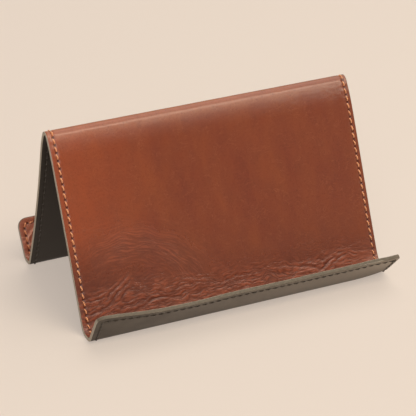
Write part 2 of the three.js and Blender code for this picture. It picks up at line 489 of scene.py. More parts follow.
# Heights and depths in millimetres.
SLANT_HEIGHT = 0.08
ARCH_HEIGHT = 0.045
LONG_RIDGE_HEIGHT = 0.12
SHORT_RIDGE_HEIGHT = 0.10
RIPPLE_HEIGHT = 0.05
PEBBLE_HEIGHT = 0.04
BY_SEAM_HEIGHT = 0.05
SEAM_VALLEY_DEPTH = 0.10
SEAM_VALLEY_WIDTH = 0.55
PILLOW_HEIGHT = 0.03
PILLOW_WIDTH = 1.3
NEEDLE_HOLE_DEPTH = 0.22
NEEDLE_HOLE_WIDTH = 0.36
CUT_EDGE_DROP = 0.10
CUT_EDGE_WIDTH = 0.25

# Long soft creases, most of them on the front panel, two by the left end of the fold of the rear
# lip: points (u, distance from the foot of the front panel), depth, half width.
CREASES = [
    ([(-50, 27), (-46, 28), (-42, 27.8), (-38, 26.6), (-33, 24.5), (-28, 22.6)], 0.07, 0.42),
    ([(-32, 23.2), (-26, 22), (-20, 20), (-15, 17.4), (-11, 14), (-9, 9)], 0.06, 0.45),
    ([(-22, 16.8), (-18, 16.2), (-15, 14.8), (-12, 12)], 0.04, 0.4),
    ([(-24, 14), (-20, 14), (-16, 12.6), (-14, 10.5)], 0.03, 0.4),
    ([(-43, 5), (-40, 8), (-36, 10.8), (-33, 13)], 0.09, 0.42),
    ([(-41, 5), (-38, 7.6), (-34.5, 9.8), (-32, 12)], 0.09, 0.42),
    ([(-39, 4.6), (-36.5, 6.6), (-33.5, 8.4)], 0.07, 0.4),
    ([(-48, 8), (-44, 8.8), (-39, 8.6)], 0.06, 0.4),
    ([(-47, 6.6), (-43, 7.2), (-39.5, 7.0)], 0.07, 0.4),
    ([(-48, 2.6), (-44.5, 3.8), (-41, 4.6)], 0.08, 0.45),
    ([(-47.9, 127.0), (-46.8, 129.0), (-45.2, 130.6), (-42, 131.8)], 0.16, 0.5),
    ([(-47.4, 125.6), (-46.2, 127.2), (-44.2, 128.4)], 0.10, 0.4),
    ([(-31, 1.6), (-27, 3.4), (-23, 3.5), (-18, 2.3)], 0.10, 0.5),
    ([(-20, 4.6), (-14, 5.6), (-8, 5.0)], 0.06, 0.45),
    ([(-6, 3.2), (2, 5.0), (9, 4.4)], 0.07, 0.45),
    ([(22, 3.4), (27, 2.6), (30, 1.0), (32.6, 2.4), (36, 3.6)], 0.13, 0.5),
    ([(31, 1.2), (34, 3.0), (38.5, 5.2)], 0.10, 0.42),
    ([(34, 1.6), (37, 3.2), (41, 4.2)], 0.08, 0.42),
    ([(40, 6.0), (45, 7.0), (49, 6.6)], 0.03, 0.4),
    ([(26, 56), (30, 53.6), (35, 49.6)], 0.035, 0.3),
    ([(36, 25), (40, 22), (44, 19.6), (48, 19.2)], 0.035, 0.3),
    ([(-12, 43.4), (-8, 45), (-3, 45.6), (2, 45.2)], 0.03, 0.3),
    ([(-46, 44.4), (-42, 42), (-40, 40.4)], 0.02, 0.3),
]
CREASE_PIECES = 12


def smooth_curve(points):
    """A smooth line through a few points."""
    given = np.array(points, float)
    padded = np.vstack([2 * given[0] - given[1], given, 2 * given[-1] - given[-2]])
    line = []
    for a, b, c, d in zip(padded[:-3], padded[1:-2], padded[2:-1], padded[3:]):
        for t in np.arange(CREASE_PIECES) / CREASE_PIECES:
            bend = (2 * a - 5 * b + 4 * c - d) * t * t + (3 * b - a - 3 * c + d) * t**3
            line.append((2 * b + (c - a) * t + bend) / 2)
    line.append(given[-1])
    return np.array(line)


def crease(u, up, points, depth, width):
    """A narrow valley with a soft bank on each side, fading out at both ends."""
    line = smooth_curve(points)
    margin = 4 * width
    low, high = line.min(0) - margin, line.max(0) + margin
    inside = (u > low[0]) & (u < high[0]) & (up > low[1]) & (up < high[1])
    height = np.zeros(u.shape)
    if not inside.any():
        return height
    here = np.stack([u[inside], up[inside]], -1)
    gap = here[:, None, :] - line[None, :, :]
    distance = np.hypot(gap[..., 0], gap[..., 1])
    nearest = distance.argmin(1)
    away = distance.min(1)
    part = nearest / (len(line) - 1)
    fade = np.sin(np.pi * np.clip(part, 0.02, 0.98)) ** 0.7
    profile = 0.75 * bump(away - 2 * width, width * 1.1) - bump(away, width)
    height[inside] = depth * fade * profile
    return height


def crush_strength(u, up):
    """How much the leather is crushed above a fold: strongly near it, weakly further up."""
    calm_right = 1 - 0.4 * smoothstep((u - 38) / 8)
    left = smoothstep((5 - u) / 35)
    strong = bump(np.maximum(up - 1.5, 0), 4.0 + 3.4 * left)
    weak = bump(np.maximum(up - 3, 0), 8.0 + 5.0 * left)
    return strong * calm_right, weak * calm_right


def slanting(u, up):
    """Steep wrinkles running up from the left end of a fold."""
    across = 0.77 * up - 0.64 * (u + 37) + 0.8 * noise(u / 5, up / 5, 28)
    along = 0.64 * up + 0.77 * (u + 37)
    mask = bump(u + 37.5, 6.5) * bump(up - 8, 4.5)
    return SLANT_HEIGHT * mask * creased(along / 4.0, across / 0.9, 29, 0.05)


ARCH_CENTRE = (-34, -5)
ARCH_RADIUS = 26
ARCH_SPREAD = 6.8


def arch_place(u, up):
    """Angle and distance round the spot the arching creases curve about, and their strength."""
    du, dv = u - ARCH_CENTRE[0], up - ARCH_CENTRE[1]
    radius = np.hypot(du, dv) + 0.9 * noise(u / 6, up / 6, 33)
    angle = np.degrees(np.arctan2(dv, du))
    round_it = smoothstep((angle - 14) / 20) * smoothstep((128 - angle) / 30)
    return angle, radius, bump(radius - ARCH_RADIUS, ARCH_SPREAD) * round_it


def arching(u, up):
    """A patch of shallow creases curving round one spot of the panel."""
    angle, radius, strength = arch_place(u, up)
    return ARCH_HEIGHT * strength * creased(angle / 18, radius / 1.2, 34, 0.08)


def arch_flow(u, s):
    """For the shader: along and across the arching creases, and their strength."""
    angle, radius, strength = arch_place(u, s - PANEL_START)
    return np.stack([angle / 16, radius / 0.75, strength * (s < RIDGE_START)], -1)


def wrinkle_level(u, up):
    """Height above a fold, strayed so that its level lines run like the wrinkles."""
    leaning = 0.35 * bump(u + 40, 10) * bump(up - 5, 6)
    warp = 1.2 * noise(u / 11, up / 7, 21) + 0.6 * noise(u / 3.5, up / 3, 26)
    return up + warp - leaning * (u + 40)


def fold_flow(u, s):
    """For the shader: along and across the wrinkles above a fold, and their strength."""
    rear = s > RIDGE_TOP
    side = np.where(rear, -u, u)
    up = np.where(rear, REAR_FOLD_START - s, s - PANEL_START)
    return np.stack([side / 4, wrinkle_level(side, up) / 0.9, crush(u, s)], -1)


def fold_wrinkles(u, up):
    """Compression wrinkles of the leather face above a fold."""
    level = wrinkle_level(u, up)
    long_ones = creased(u / 7.0, level / 0.8, 22, 0.05)
    short_ones = creased((u + 0.8 * up) / 3.2, (level - 0.3 * u) / 0.75, 23, 0.05)
    pebbles = creased(u / 1.1, up / 0.8, 27, 0.05)
    patch = np.clip(0.85 + 0.55 * noise(u / 9, up / 5, 24), 0.35, 1.3)
    strong, weak = crush_strength(u, up)
    ridges = LONG_RIDGE_HEIGHT * long_ones + SHORT_RIDGE_HEIGHT * short_ones
    ripples = RIPPLE_HEIGHT * (long_ones + short_ones) + PEBBLE_HEIGHT * pebbles
    return patch * (ridges * strong + ripples * weak)


def wrinkles(u, s):
    """Wrinkles and creases of the whole leather face, in millimetres."""
    up = s - PANEL_START
    front = fold_wrinkles(u, up) + slanting(u, up) + arching(u, up)
    front = front * smoothstep((s + 3.5) / 4)
    rear = 0.6 * fold_wrinkles(-u, REAR_FOLD_START - s) * smoothstep((REAR_FOLD_END + 3 - s) / 4)
    lip = 0.4 * fold_wrinkles(u + 30, s - REAR_FOLD_END + 2) * (s > REAR_FOLD_START)
    by_seam = bump(u - 42, 9) * bump(up - 40, 16)
    fine = BY_SEAM_HEIGHT * by_seam * creased(u / 3.5, up / 0.9, 37, 0.05)
    height = front + np.where(s > RIDGE_END, rear, fine) + lip
    strayed_u = u + 0.45 * noise(u / 2.4, up / 2.4, 35)
    strayed_up = up + 0.45 * noise(u / 2.4, up / 2.4, 36)
    for points, depth, width in CREASES:
        height += crease(strayed_u, strayed_up, points, depth, 0.75 * width)
    swell = 0.02 * noise(u / 8, s / 8, 31) + 0.008 * noise(u / 2.2, s / 2.2, 32)
    return height + swell


def crush(u, s):
    """0 to 1 over the leather face, for the finest wrinkles, which the shader makes."""
    front = crush_strength(u, s - PANEL_START)
    rear = crush_strength(-u, REAR_FOLD_START - s)
    ahead = smoothstep((s + 6) / 4)
    front_part = (0.6 * front[0] + 0.4 * front[1]) * ahead
    rear_part = np.where(s > RIDGE_END, 0.6 * rear[0] + 0.4 * rear[1], 0)
    return np.maximum(front_part, rear_part)


def seam_pull(u, s):
    """How the stitches pull the leather down and the needle pierces it."""
    shape = u.shape
    run, off = seam_coordinates(np.ravel(u), np.ravel(s))
    run, off = run.reshape(shape), off.reshape(shape)
    from_hole = (np.mod(run + 0.5, 1.0) - 0.5) * PITCH
    valley = SEAM_VALLEY_DEPTH * bump(off, SEAM_VALLEY_WIDTH)
    pillow = PILLOW_HEIGHT * np.cos(2 * np.pi * run) * bump(off, PILLOW_WIDTH)
    hole = NEEDLE_HOLE_DEPTH * bump(np.hypot(from_hole, off), NEEDLE_HOLE_WIDTH)
    return -valley - pillow - hole


def rim_roll(u, s, inset):
    """Rounding of a cut edge."""
    full = HALF_WIDTH - inset
    from_side = full - np.abs(u)
    from_tip = np.minimum(s - S_FRONT, S_REAR - s) - inset
    from_edge = np.maximum(np.minimum(from_side, from_tip), 0)
    return -CUT_EDGE_DROP * bump(from_edge, CUT_EDGE_WIDTH)


LAYER_INSET = 0.12
LAYER_BACK = 0.16  # the hidden side of leather and lining, off the middle of the sheet
CORE_INSET = 3.6
CORE_HALF = 0.15
SEAM_MARGIN = 4.0  # columns are finest this close to the sides


def leather_face(u, s):
    calm = smoothstep((HALF_WIDTH - np.abs(u) - SEAM_INSET - 0.4) / 2.0) * 0.8 + 0.2
    lift = wrinkles(u, s) * calm + seam_pull(u, s) + rim_roll(u, s, LAYER_INSET)
    return HALF_THICKNESS + lift


def lining_face(u, s):
    swell = 0.02 * noise(u / 9, s / 7, 41) + 0.008 * noise(u / 2, s / 2, 42)
    return -HALF_THICKNESS - swell - 0.6 * seam_pull(u, s) - rim_roll(u, s, LAYER_INSET)


def sheet_columns(fine, coarse):
    """Positions across a layer: fine steps under the seam, coarse ones between."""
    side = HALF_WIDTH - LAYER_INSET
    inner = HALF_WIDTH - SEAM_MARGIN
    rim = side - 0.1
    return spaced(-side, (-rim, 0.1), (-inner, fine), (inner, coarse), (rim, fine), (side, 0.1))


def sheet_ends():
    """Rows across the rounded front and rear ends of a layer."""
    front = tip_rows(S_FRONT + LAYER_INSET, 1, FRONT_CORNER_RADIUS - LAYER_INSET)
    rear = tip_rows(S_REAR - LAYER_INSET, -1, REAR_CORNER_RADIUS - LAYER_INSET)[::-1]
    return front, rear


def outer_leather():
    columns = sheet_columns(fine=0.21, coarse=0.39)
    front, rear = sheet_ends()
    rows = spaced(
        front[-1],
        (-5, 0.6),
        (PANEL_START - 1, 0.36),
        (PANEL_START + 12, 0.29),
        (PANEL_START + 26, 0.34),
        (RIDGE_START - 2, 0.50),
        (RIDGE_END + 2, 0.30),
        (REAR_FOLD_START - 10, 1.0),
        (REAR_FOLD_END, 0.40),
        (rear[0], 0.50),
    )
    rows = np.concatenate([front[:-1], rows, rear[1:]])
    fields = {"relief": wrinkles, "fold_flow": fold_flow, "arch_flow": arch_flow}
    inset = LAYER_INSET
    return shell("outer_leather_sheet", rows, columns, inset, leather_face, LAYER_BACK, 1, fields)


def lining():
    columns = sheet_columns(fine=0.24, coarse=0.75)
    front, rear = sheet_ends()
    rows = spaced(
        front[-1],
        (-5, 0.4),
        (PANEL_START, 0.4),
        (RIDGE_START, 0.6),
        (RIDGE_END, 0.3),
        (REAR_FOLD_START, 0.6),
        (rear[0], 0.5),
    )
    rows = np.concatenate([front[:-1], rows, rear[1:]])
    return shell("lining_sheet", rows, columns, LAYER_INSET, lining_face, -LAYER_BACK, -1)


def core_face(u, s):
    return np.full(u.shape, CORE_HALF)


def core_plate():
    side = HALF_WIDTH - CORE_INSET
    rows = spaced(
        S_FRONT + CORE_INSET,
        (RIDGE_START, 0.5),
        (RIDGE_END, 0.25),
        (S_REAR - CORE_INSET, 0.5),
    )
    columns = spaced(-side, (side, 2.0))
    return shell("core_plate_sheet", rows, columns, CORE_INSET, core_face, -CORE_HALF, 1)


# ---------------------------------------------------------------- threads and edge paint

RINGS = 24
THREAD_SIDES = 12
PLIES = 3
TWISTS_PER_STITCH = 1.5
PLY_DEPTH = 0.13
STITCH_WOBBLE = 0.05


def thread(name, radius, slant, inside, crown, drop):
    """One closed thread: a stitch on the face from hole to hole, the rest inside the sheet."""
    t = np.tile((np.arange(RINGS) + 0.5) / RINGS, STITCHES)
    stitch = np.repeat(np.arange(STITCHES), RINGS)
    u, s, out_u, out_s = along_ring(SEAM, (stitch + t) * PITCH)
    size = np.hypot(out_u, out_s)
    out_u, out_s = out_u / size, out_s / size
    wobble = STITCH_WOBBLE * noise(stitch * 0.37 + 5.5, 0.5 + 0 * t, 51)
    aside = slant * (1 - 2 * t) + wobble
    swing = crown - math.copysign(drop, crown) * (2 * t - 1) ** 2
    w = np.maximum(swing, inside) if crown > 0 else np.minimum(swing, inside)
    centre = np.stack([u + aside * out_u, s + aside * out_s, w], -1)
    across = np.stack([out_u, out_s, 0 * out_u], -1)
    turns = 2 * np.pi * TWISTS_PER_STITCH * (stitch + t)
    angles = np.arange(THREAD_SIDES) / THREAD_SIDES * 2 * np.pi
    lobes = 1 + PLY_DEPTH * np.cos(PLIES * (angles[None, :] - turns[:, None]))
    return strand(name, centre, across, radius * lobes)


PAINT_HALF_HEIGHT = 0.585
PAINT_OVERLAP = 0.03  # how far the bead reaches behind the cut edges
PAINT_SECTION = 11
PAINT_STEP = 0.3


def edge_paint():
    """The painted bead: a half ellipse outside, flat against the cut edges inside."""
    reach = PAINT_DEPTH + PAINT_OVERLAP
    lengths, table = ring(reach, PAINT_STEP)
    run, (u, s, out_u, out_s) = lengths[:-1], table[:-1].T
    angles = np.linspace(-math.pi / 2, math.pi / 2, PAINT_SECTION)
    depth = reach * (1 + 0.07 * noise(run / 4, 0.5 + 0 * run, 61))
    height = PAINT_HALF_HEIGHT * (1 + 0.02 * noise(run / 5, 0.5 + 0 * run, 62))
    x = depth[:, None] * np.cos(angles)[None, :] ** 0.8
    w = height[:, None] * np.sin(angles)[None, :]
    pu = u[:, None] + out_u[:, None] * x
    ps = s[:, None] + out_s[:, None] * x
    flat = np.stack([pu.ravel(), ps.ravel(), w.ravel()], -1)
    points = place(flat[:, 0], flat[:, 1], flat[:, 2])
    return make_mesh("edge_paint_bead", points, tube_faces(*x.shape), {"sheet": flat})


# ---------------------------------------------------------------- materials


def srgb(red, green, blue):
    """A display colour, 0 to 255, as linear light."""
    out = []
    for value in (red, green, blue):
        c = value / 255
        out.append(c / 12.92 if c <= 0.04045 else ((c + 0.055) / 1.055) ** 2.4)
    return (*out, 1.0)


# Sockets of a Mix node set to colours.
MIX_FACTOR = 0
MIX_FIRST_COLOUR = 6
MIX_SECOND_COLOUR = 7
MIX_COLOUR_OUT = 2


class Look:
    """A material and short ways to add nodes to it."""

    def __init__(self, name, constants):
        self.material = bpy.data.materials.new(name)
        self.material.use_nodes = True
        self.tree = self.material.node_tree
        self.shader = self.tree.nodes["Principled BSDF"]
        for key, value in constants.items():
            self.shader.inputs[key].default_value = value

    def feed(self, socket, value):
        if isinstance(value, bpy.types.NodeSocket):
            self.tree.links.new(value, socket)
        else:
            socket.default_value = value

    def attribute(self, name, output="Vector"):
        node = self.tree.nodes.new("ShaderNodeAttribute")
        node.attribute_name = name
        return node.outputs[output]

    def math(self, operation, *values):
        node = self.tree.nodes.new("ShaderNodeMath")
        node.operation = operation
        for socket, value in zip(node.inputs, values):
            self.feed(socket, value)
        return node.outputs[0]

    def times(self, a, b):
        return self.math("MULTIPLY", a, b)

    def distance(self, a, b):
        return self.math("SQRT", self.math("ADD", self.times(a, a), self.times(b, b)))

    def split(self, vector):
        node = self.tree.nodes.new("ShaderNodeSeparateXYZ")
        self.feed(node.inputs[0], vector)
        return node.outputs

    def scaled(self, vector, scale):
        node = self.tree.nodes.new("ShaderNodeVectorMath")
        node.operation = "MULTIPLY"
        self.feed(node.inputs[0], vector)
        node.inputs[1].default_value = scale
        return node.outputs[0]

    def noise(self, vector, scale, detail=2.0, roughness=0.5, distortion=0.0):
        node = self.tree.nodes.new("ShaderNodeTexNoise")
        self.feed(node.inputs["Vector"], vector)
        node.inputs["Scale"].default_value = scale
        node.inputs["Detail"].default_value = detail
        node.inputs["Roughness"].default_value = roughness
        node.inputs["Distortion"].default_value = distortion
        return node.outputs["Fac"]

    def cells(self, vector, scale):
        node = self.tree.nodes.new("ShaderNodeTexVoronoi")
        node.feature = "DISTANCE_TO_EDGE"
        self.feed(node.inputs["Vector"], vector)
        node.inputs["Scale"].default_value = scale
        return node.outputs["Distance"]

    def spread(self, value, low, high, to_low=0.0, to_high=1.0):
        node = self.tree.nodes.new("ShaderNodeMapRange")
        node.clamp = True
        for socket, number in zip(node.inputs, (value, low, high, to_low, to_high)):
            self.feed(socket, number)
        return node.outputs[0]

    def mix(self, factor, a, b):
        node = self.tree.nodes.new("ShaderNodeMix")
        node.data_type = "RGBA"
        self.feed(node.inputs[MIX_FACTOR], factor)
        self.feed(node.inputs[MIX_FIRST_COLOUR], a)
        self.feed(node.inputs[MIX_SECOND_COLOUR], b)
        return node.outputs[MIX_COLOUR_OUT]

    def bump(self, height, distance, under=None):
        node = self.tree.nodes.new("ShaderNodeBump")
        node.inputs["Strength"].default_value = 1.0
        node.inputs["Distance"].default_value = distance
        self.feed(node.inputs["Height"], height)
        if under is not None:
            self.feed(node.inputs["Normal"], under)
        return node.outputs[0]

    def set(self, **values):
        for key, value in values.items():
            self.feed(self.shader.inputs[key.replace("_", " ")], value)
        return self.material


def hole_mask(look, half_long, half_wide):
    """1 at a needle hole, 0 away from it."""
    run, off, _ = look.split(look.attribute("seam"))
    phase = look.math("SUBTRACT", look.math("FRACT", look.math("ADD", run, 0.5)), 0.5)
    a = look.times(phase, PITCH / half_long)
    b = look.math("DIVIDE", off, half_wide)
    reach = look.distance(a, b)
    return look.spread(reach, 0.75, 1.25, 1.0, 0.0)


# Tones of the leather, named for where they show.
LEATHER = {
    "cloud_dark": srgb(114, 55, 37),
    "cloud_light": srgb(127, 65, 39),
    "upper_left": srgb(145, 70, 41),
    # painted shade: the lower left of the front panel darkened
    "lower_left_shade": srgb(90, 40, 25),
    "right": srgb(114, 58, 40),
    # painted highlight over the ridge: a paler band before it and a paler crest
    "ridge_highlight": srgb(158, 88, 54),
    "crest_highlight": srgb(172, 120, 88),
    # painted light: the rear lip made paler, with painted highlights on its raised folds
    "rear_lip_light": srgb(205, 125, 96),
    "rear_lip_fold_highlight": srgb(240, 176, 150),
    "patch": srgb(96, 48, 32),
    "speck": srgb(90, 40, 26),
    "crushed": srgb(100, 51, 37),
    # painted sheen along the foot of the front panel
    "by_fold_sheen": srgb(146, 88, 68),
    "hairline": srgb(166, 94, 62),
    # painted highlights on the banks and tops of wrinkles
    "bank": srgb(160, 84, 58),
    "raised": srgb(152, 80, 54),
    # painted shade in wrinkle valleys and needle holes
    "valley": srgb(66, 25, 14),
    "hole": srgb(80, 24, 0),
}

# Depths of what only the shader shows, in metres.
FINE_CREASE_DEPTH = 40e-6
GRAIN_DEPTH = 9e-6
PORE_DEPTH = 14e-6


def fine_creases(look, flow):
    """Thin valleys along a flow and the banks between them, both times the flow's strength."""
    _, _, strength = look.split(flow)
    waves = look.noise(look.scaled(flow, (1, 1, 0)), 1.0, 1.5, 0.45, 0.3)
    off = look.math("ABSOLUTE", look.math("SUBTRACT", waves, 0.5))
    valleys = look.times(look.spread(off, 0.0, 0.11, 1.0, 0.0), strength)
    banks = look.times(look.spread(off, 0.09, 0.16), strength)
    return valleys, banks, strength


def rear_lip_light_mask(look, along):
    """How much of the painted light on the rear lip shows."""
    return look.spread(along, S_REAR - 16, S_REAR - 11, 0.0, 0.85)


def leather_ground(look, sheet, across, along):
    """The broad tones: cloudy, ruddy at the upper left, with painted shade at the lower left, a
    painted highlight over the ridge and painted light on the rear lip.
    """
    clouds = look.noise(look.scaled(sheet, (1 / 9, 1 / 26, 0)), 1.0, 4.0, 0.6, 0.3)
    tone = look.mix(look.spread(clouds, 0.34, 0.68), LEATHER["cloud_dark"], LEATHER["cloud_light"])
    left = look.spread(across, -46, -15, 0.75, 0.0)
    upper = look.spread(along, PANEL_START + 12, PANEL_START + 26)
    tone = look.mix(look.times(left, upper), tone, LEATHER["upper_left"])
    # painted shade over the lower left of the front panel
    lower_left_shade = look.times(left, look.math("SUBTRACT", 1.0, upper))
    tone = look.mix(lower_left_shade, tone, LEATHER["lower_left_shade"])
    # painted light: the rear lip made paler
    tone = look.mix(rear_lip_light_mask(look, along), tone, LEATHER["rear_lip_light"])
    behind_ridge = look.spread(along, RIDGE_END, RIDGE_END + 4, 1.0, 0.0)
    # painted highlight: a paler band where the front shoulder meets the ridge, and a paler crest
    ridge_highlight = look.spread(along, RIDGE_START - 2.5, RIDGE_START + 1, 0.0, 0.55)
    ridge_highlight = look.times(ridge_highlight, behind_ridge)
    tone = look.mix(ridge_highlight, tone, LEATHER["ridge_highlight"])
    crest_highlight = look.spread(along, RIDGE_TOP - 0.5, RIDGE_TOP + 1, 0.0, 0.9)
    tone = look.mix(look.times(crest_highlight, behind_ridge), tone, LEATHER["crest_highlight"])
    return look.mix(look.spread(across, 10, 45, 0.0, 0.35), tone, LEATHER["right"])


def leather_wear(look, tone, sheet, patches, crushed):
    """Patches, specks, the duller crushed leather, a painted sheen along the foot of the front
    panel, and hairline scuffs.
    """
    across, along, _ = look.split(sheet)
    specks = look.noise(look.scaled(sheet, (1.6, 1.6, 0)), 1.0, 3.0, 0.65)
    tone = look.mix(look.spread(patches, 0.35, 0.75, 0.0, 0.25), tone, LEATHER["patch"])
    tone = look.mix(look.spread(specks, 0.5, 0.75, 0.0, 0.4), tone, LEATHER["speck"])
    tone = look.mix(look.times(crushed, 0.6), tone, LEATHER["crushed"])
    # painted sheen: paler along the foot of the front panel, except at its left end
    by_fold_sheen = look.spread(along, PANEL_START + 4, PANEL_START, 0.0, 0.5)
    by_fold_sheen = look.times(by_fold_sheen, look.spread(across, -44, -24))
    tone = look.mix(by_fold_sheen, tone, LEATHER["by_fold_sheen"])
    lines = look.noise(look.scaled(sheet, (1 / 4.5, 1 / 3, 0)), 1.0, 5.0, 0.62, 0.8)
    off_line = look.math("ABSOLUTE", look.math("SUBTRACT", lines, 0.5))
    hairlines = look.spread(off_line, 0.0, 0.016, 0.26, 0.0)
    hairlines = look.times(hairlines, look.spread(patches, 0.40, 0.60))
    return look.mix(hairlines, tone, LEATHER["hairline"])


def leather_relief_tones(look, tone, along, creases, banks, crushed):
    """Painted highlights where the leather is raised, painted shade in its valleys and in the
    needle holes.
    """
    relief = look.attribute("relief", "Fac")
    # painted highlights on crease banks and raised leather
    tone = look.mix(look.times(banks, 0.3), tone, LEATHER["bank"])
    tone = look.mix(look.spread(relief, 0.03, 0.10, 0.0, 0.45), tone, LEATHER["raised"])
    # painted highlights on the raised folds of the rear lip
    rear_fold_highlights = look.times(rear_lip_light_mask(look, along), look.spread(relief, 0.03, 0.09))
    tone = look.mix(rear_fold_highlights, tone, LEATHER["rear_lip_fold_highlight"])
    # painted shade in the valleys of the wrinkles and creases
    valleys = look.times(look.spread(relief, -0.05, 0.03, 0.6, 0.0), crushed)
    valleys = look.math("MAXIMUM", valleys, look.spread(relief, -0.09, -0.03, 0.5, 0.0))
    valleys = look.math("MAXIMUM", valleys, look.times(creases, 0.5))
    tone = look.mix(valleys, tone, LEATHER["valley"])
    # painted shade in the needle holes
    return look.mix(hole_mask(look, 0.60, 0.40), tone, LEATHER["hole"])


def leather_look():
    """Polished cognac pull-up leather."""
    look = Look("cognac_leather", {"Specular IOR Level": 0.5})
    sheet = look.attribute("sheet")
    across, along, _ = look.split(sheet)
    fold_creases, fold_banks, crushed = fine_creases(look, look.attribute("fold_flow"))
    arch_creases, arch_banks, arched = fine_creases(look, look.attribute("arch_flow"))
    creases = look.math("MAXIMUM", fold_creases, look.times(arch_creases, 0.7))
    banks = look.math("MAXIMUM", fold_banks, look.times(arch_banks, 0.9))
    patches = look.noise(look.scaled(sheet, (1 / 4, 1 / 6, 0)), 1.0, 4.0, 0.6, 0.2)
    tone = leather_ground(look, sheet, across, along)
    tone = leather_wear(look, tone, sheet, patches, crushed)
    tone = leather_relief_tones(look, tone, along, creases, banks, crushed)
    deepest = look.math("MAXIMUM", fold_creases, look.times(arch_creases, 0.3))
    normal = look.bump(look.times(deepest, -1.0), FINE_CREASE_DEPTH)
    normal = look.bump(look.spread(look.cells(sheet, 2.2), 0.0, 0.25), GRAIN_DEPTH, normal)
    normal = look.bump(look.noise(sheet, 4.0, 3.0, 0.6), PORE_DEPTH, normal)
    rough = look.spread(patches, 0.3, 0.7, 0.20, 0.25)
    crushed_matt = look.times(crushed, 0.20)
    arched_matt = look.times(arched, 0.12)
    rough = look.math("ADD", rough, look.math("MAXIMUM", crushed_matt, arched_matt))
    return look.set(Base_Color=tone, Roughness=rough, Normal=normal)


def lining_look():
    """Smooth taupe-grey lining leather, with painted shade towards its left end, by the front fold,
    inside the stand and in the needle holes, and a painted highlight at the right end of the front
    lip.
    """
    look = Look("taupe_lining", {"Specular IOR Level": 0.35})
    sheet = look.attribute("sheet")
    clouds = look.noise(look.scaled(sheet, (1 / 12, 1 / 9, 0)), 1.0, 3.0, 0.55)
    specks = look.noise(sheet, 3.0, 3.0, 0.6)
    across, along, _ = look.split(sheet)
    # painted shade: darker towards the left end, lighter towards the right
    tone = look.mix(look.spread(across, -48, 46), srgb(54, 47, 39), srgb(122, 111, 98))
    tone = look.mix(look.spread(clouds, 0.35, 0.65, 0.0, 0.3), tone, srgb(126, 116, 104))
    tone = look.mix(look.spread(specks, 0.5, 0.8, 0.0, 0.3), tone, srgb(88, 80, 71))
    # painted highlight at the right end of the front lip
    right_end_highlight = look.spread(across, 32, 45, 0.0, 0.4)
    right_end_highlight = look.times(right_end_highlight, look.spread(along, -6.0, -11.0))
    tone = look.mix(right_end_highlight, tone, srgb(164, 152, 137))
    # painted shade: darker on the front lip towards the fold
    tone = look.mix(look.spread(along, -8.0, -1.0, 0.0, 0.5), tone, srgb(70, 61, 52))
    # painted shade: nearly dark over all the lining past the front fold, meant for the inside of
    # the stand
    tone = look.mix(look.spread(along, 1.0, 6.0, 0.0, 0.95), tone, srgb(47, 40, 33))
    # painted shade in the needle holes
    tone = look.mix(hole_mask(look, 0.3, 0.25), tone, srgb(56, 48, 39))
    normal = look.bump(look.cells(sheet, 2.2), 0.00002)
    normal = look.bump(specks, 0.00002, normal)
    return look.set(Base_Color=tone, Roughness=0.52, Normal=normal)


def thread_look(name, light, dark):
    """Sewing thread: light and dark fibres that wind round it."""
    look = Look(name, {"Specular IOR Level": 0.3, "Sheen Weight": 0.2})
    run, spin, _ = look.split(look.attribute("strand"))
    round_it = look.times(spin, 110.0)
    along_it = look.times(run, 1.9)
    fibres = look.math("SINE", look.math("ADD", round_it, along_it))
    tone = look.mix(look.spread(fibres, -1.0, 1.0), dark, light)
    normal = look.bump(fibres, 0.000012)
    return look.set(Base_Color=tone, Roughness=0.62, Normal=normal)


def paint_look():
    """Grey edge paint, with a painted highlight on its leather side and painted light along the
    sides of the sheet.
    """
    look = Look("grey_edge_paint", {"Specular IOR Level": 0.15})
    sheet = look.attribute("sheet")
    clouds = look.noise(sheet, 0.8, 3.0, 0.6)
    tone = look.mix(look.spread(clouds, 0.35, 0.65), srgb(96, 88, 77), srgb(108, 99, 88))
    across, _, off_middle = look.split(sheet)
    # painted highlight: paler on the leather side of the bead
    tone = look.mix(look.spread(off_middle, 0.38, 0.52), tone, srgb(140, 131, 117))
    from_middle = look.math("ABSOLUTE", across)
    # painted light: paler along the left and right sides of the sheet
    sides = look.spread(from_middle, HALF_WIDTH - 0.6, HALF_WIDTH - 0.1)
    tone = look.mix(sides, tone, srgb(164, 156, 143))
    normal = look.bump(look.noise(sheet, 2.5, 3.0, 0.6), 0.00004)
    return look.set(Base_Color=tone, Roughness=0.6, Normal=normal)


def steel_look():
    """Rolled steel with faint streaks."""
    look = Look("core_steel", {"Metallic": 1.0})
    sheet = look.attribute("sheet")
    streaks = look.noise(look.scaled(sheet, (0.2, 6.0, 0)), 1.0, 4.0, 0.6)
    tone = look.mix(streaks, srgb(150, 150, 148), srgb(190, 190, 188))
    return look.set(Base_Color=tone, Roughness=look.spread(streaks, 0.3, 0.7, 0.3, 0.45))


FLOOR_GLOW = 0.58
FAR_FLOOR_GLOW = 0.95
FLOOR_GLOW_RANGE = (0.5, 3.0)  # metres from the object over which it rises


def floor_look():
    """Pale paper, a little light of its own so that shadows on it stay weak."""
    look = Look("pale_floor", {"Specular IOR Level": 0.1, "Roughness": 0.9})
    paper = np.array(srgb(224, 210, 198))
    place_node = look.tree.nodes.new("ShaderNodeTexCoord")
    across, along, _ = look.split(place_node.outputs["Object"])
    out = look.distance(across, along)
    glow = look.spread(out, *FLOOR_GLOW_RANGE, FLOOR_GLOW, FAR_FLOOR_GLOW)
    plain = (*((1 - FLOOR_GLOW) * paper[:3]), 1.0)
    return look.set(Base_Color=plain, Emission_Color=paper, Emission_Strength=glow)


# ---------------------------------------------------------------- the pieces

